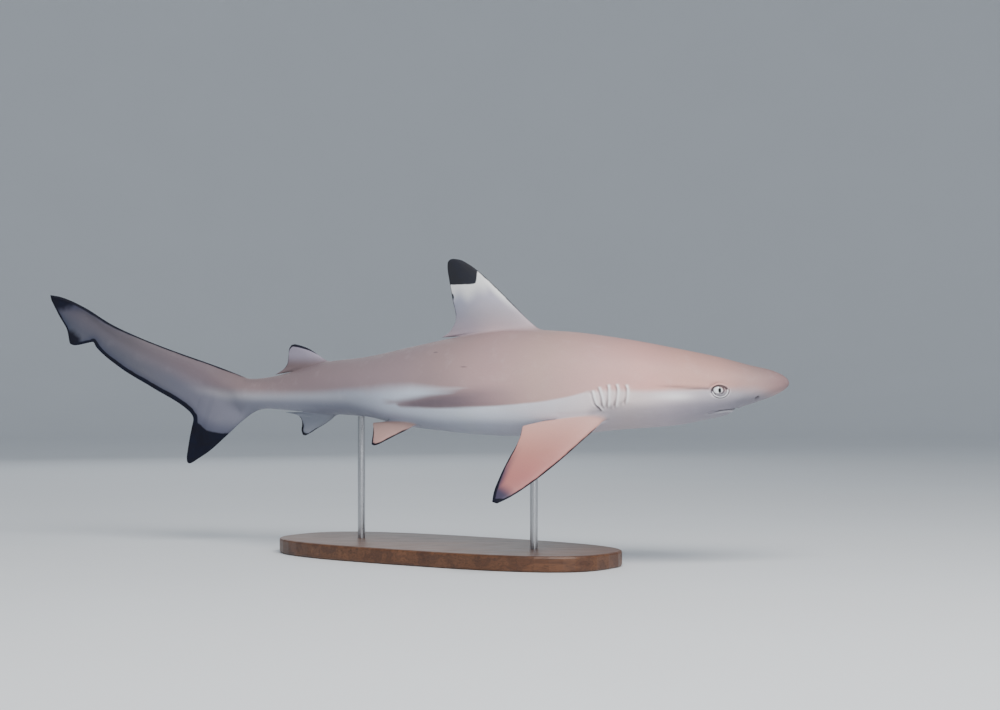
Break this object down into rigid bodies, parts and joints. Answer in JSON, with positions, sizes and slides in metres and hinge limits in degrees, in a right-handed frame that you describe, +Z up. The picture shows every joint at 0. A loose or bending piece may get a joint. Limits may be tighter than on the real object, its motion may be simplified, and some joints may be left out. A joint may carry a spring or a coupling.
{
  "type": "blacktip reef shark model",
  "caption": "Life-size still model of a blacktip reef shark swimming in a gentle bend, held over a flat wooden base by steel rods.",
  "frame": {"origin": "centre of the underside of the stand's base, on the floor between the two rods", "axes": "+X the way the shark's head points, +Y to the shark's left, +Z up"},
  "size_m": [1.1034, 0.4882, 0.4336],
  "materials": {
    "skin": "satin, damp shark skin, tan-grey above, white below, black fin tips",
    "eye": "glossy glass-like eye with a pale iris and a dark upright slit pupil",
    "wood": "satin oiled walnut",
    "steel": "brushed"
  },
  "bodies": {
    "root": {"head": "skin", "lower_jaw": "skin", "gill_region": "skin", "trunk_front": "skin", "trunk_rear": "skin", "tail_stalk": "skin", "caudal_upper_lobe": "skin", "caudal_lower_lobe": "skin", "first_dorsal_fin": "skin", "second_dorsal_fin": "skin", "pectoral_fin_left": "skin", "pectoral_fin_right": "skin", "pelvic_fin_left": "skin", "pelvic_fin_right": "skin", "anal_fin": "skin", "eye_left": "eye", "eye_right": "eye", "stand_base": "wood", "stand_rod_front": "steel", "stand_rod_rear": "steel"}
  },
  "joints": []
}
